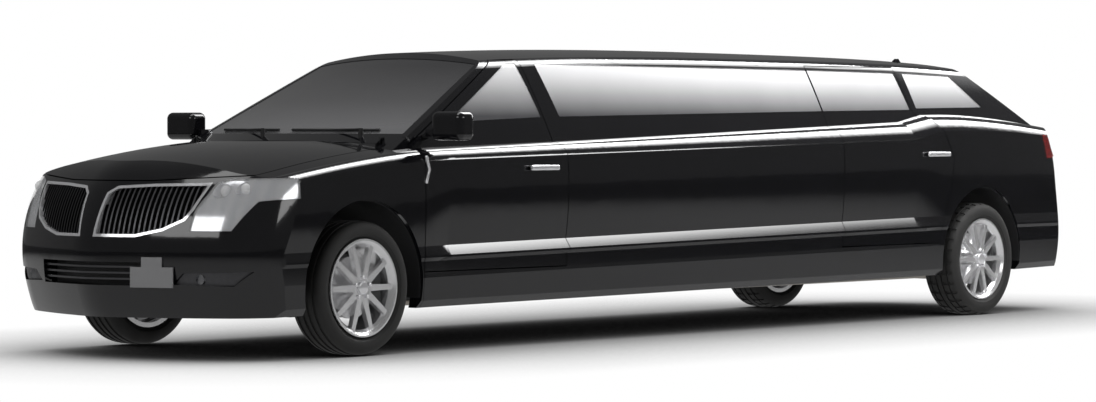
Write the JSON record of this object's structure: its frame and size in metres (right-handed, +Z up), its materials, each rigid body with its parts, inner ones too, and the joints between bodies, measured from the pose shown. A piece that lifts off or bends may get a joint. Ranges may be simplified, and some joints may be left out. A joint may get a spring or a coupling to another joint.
{
  "type": "stretch limousine",
  "caption": "Black stretch limousine on a crossover body, with opening doors, hood and liftgate, and steered front wheels.",
  "frame": {"origin": "on the ground under the middle of the vehicle's length and width", "axes": "+Z up, +Y towards the rear, +X towards the vehicle's left side"},
  "size_m": [2.29, 8.4534, 1.7131],
  "materials": {
    "paint": "high gloss black",
    "glass": "dark tinted",
    "lens": "clear",
    "red_lens": "red, clear",
    "chrome": "polished",
    "alloy": "polished",
    "tyre": "matte",
    "plastic": "black, fine grain",
    "steel": "coated",
    "leather": "black",
    "trim": "soft touch",
    "exhaust_steel": "heat dulled",
    "plate": "blank",
    "dark_metal": "dark, fine"
  },
  "bodies": {
    "body": {"bar_console": "trim", "body_side_left": "paint", "body_side_right": "paint", "cowl": "plastic", "dashboard": "trim", "drive_shaft": "steel", "engine": "steel", "exhaust": "exhaust_steel", "fixed_side_glass": "glass", "floor_pan": "steel", "fog_lamps": "chrome", "frame_rails": "steel", "front_bumper": "paint", "front_fender_left": "paint", "front_fender_right": "paint", "front_plate": "plate", "front_seats": "leather", "front_structure": "steel", "front_suspension": "steel", "grille": "chrome", "grille_mesh": "dark_metal", "headlamp_lenses": "lens", "headlamps": "chrome", "intake_mesh": "dark_metal", "lounge_seats": "leather", "partition": "trim", "rear_bumper": "paint", "rear_suspension": "steel", "roof": "paint", "steering_wheel": "trim", "tail_lamps": "red_lens", "wheelhouse_liners": "plastic", "windshield": "glass", "wipers": "plastic"},
    "hood": {"hood": "paint"},
    "liftgate": {"liftgate": "paint", "liftgate_glass": "glass", "gate_lamp": "red_lens"},
    "door_front_left": {"door_front_left": "paint", "door_glass_front_left": "glass", "mirror_left": "paint"},
    "door_rear_left": {"door_rear_left": "paint", "door_glass_rear_left": "glass"},
    "knuckle_left": {"knuckle_left": "steel"},
    "wheel_front_left": {"wheel_front_left": "alloy", "tyre_front_left": "tyre"},
    "wheel_rear_left": {"wheel_rear_left": "alloy", "tyre_rear_left": "tyre"},
    "door_front_right": {"door_front_right": "paint", "door_glass_front_right": "glass", "mirror_right": "paint"},
    "door_rear_right": {"door_rear_right": "paint", "door_glass_rear_right": "glass"},
    "knuckle_right": {"knuckle_right": "steel"},
    "wheel_front_right": {"wheel_front_right": "alloy", "tyre_front_right": "tyre"},
    "wheel_rear_right": {"wheel_rear_right": "alloy", "tyre_rear_right": "tyre"}
  },
  "joints": [
    {"name": "hood_hinge", "type": "hinge", "parent": "body", "child": "hood", "pos_m": [0, -2.677, 1.172], "axis": [-1, 0, 0], "range_deg": [0, 50]},
    {"name": "liftgate_hinge", "type": "hinge", "parent": "body", "child": "liftgate", "pos_m": [0, 3.062, 1.692], "axis": [1, 0, 0], "range_deg": [0, 75]},
    {"name": "door_front_left_hinge", "type": "hinge", "parent": "body", "child": "door_front_left", "pos_m": [0.968, -2.572, 0.9], "axis": [0, 0, -1], "range_deg": [0, 65]},
    {"name": "door_rear_left_hinge", "type": "hinge", "parent": "body", "child": "door_rear_left", "pos_m": [0.968, 1.395, 0.9], "axis": [0, 0, -1], "range_deg": [0, 65]},
    {"name": "steer_left", "type": "hinge", "parent": "body", "child": "knuckle_left", "pos_m": [0.78, -3.055, 0.37], "axis": [0, 0, 1], "range_deg": [-35, 35]},
    {"name": "wheel_front_left_spin", "type": "hinge", "parent": "knuckle_left", "child": "wheel_front_left", "pos_m": [0.826, -3.055, 0.37], "axis": [1, 0, 0], "continuous": true},
    {"name": "wheel_rear_left_spin", "type": "hinge", "parent": "body", "child": "wheel_rear_left", "pos_m": [0.826, 2.988, 0.37], "axis": [1, 0, 0], "continuous": true},
    {"name": "door_front_right_hinge", "type": "hinge", "parent": "body", "child": "door_front_right", "pos_m": [-0.968, -2.572, 0.9], "axis": [0, 0, 1], "range_deg": [0, 65]},
    {"name": "door_rear_right_hinge", "type": "hinge", "parent": "body", "child": "door_rear_right", "pos_m": [-0.968, 1.395, 0.9], "axis": [0, 0, 1], "range_deg": [0, 65]},
    {"name": "steer_right", "type": "hinge", "parent": "body", "child": "knuckle_right", "pos_m": [-0.78, -3.055, 0.37], "axis": [0, 0, 1], "range_deg": [-35, 35]},
    {"name": "wheel_front_right_spin", "type": "hinge", "parent": "knuckle_right", "child": "wheel_front_right", "pos_m": [-0.826, -3.055, 0.37], "axis": [1, 0, 0], "continuous": true},
    {"name": "wheel_rear_right_spin", "type": "hinge", "parent": "body", "child": "wheel_rear_right", "pos_m": [-0.826, 2.988, 0.37], "axis": [1, 0, 0], "continuous": true}
  ],
  "couplings": [
    {"joint": "steer_right", "follows": "steer_left", "ratio": 1}
  ]
}
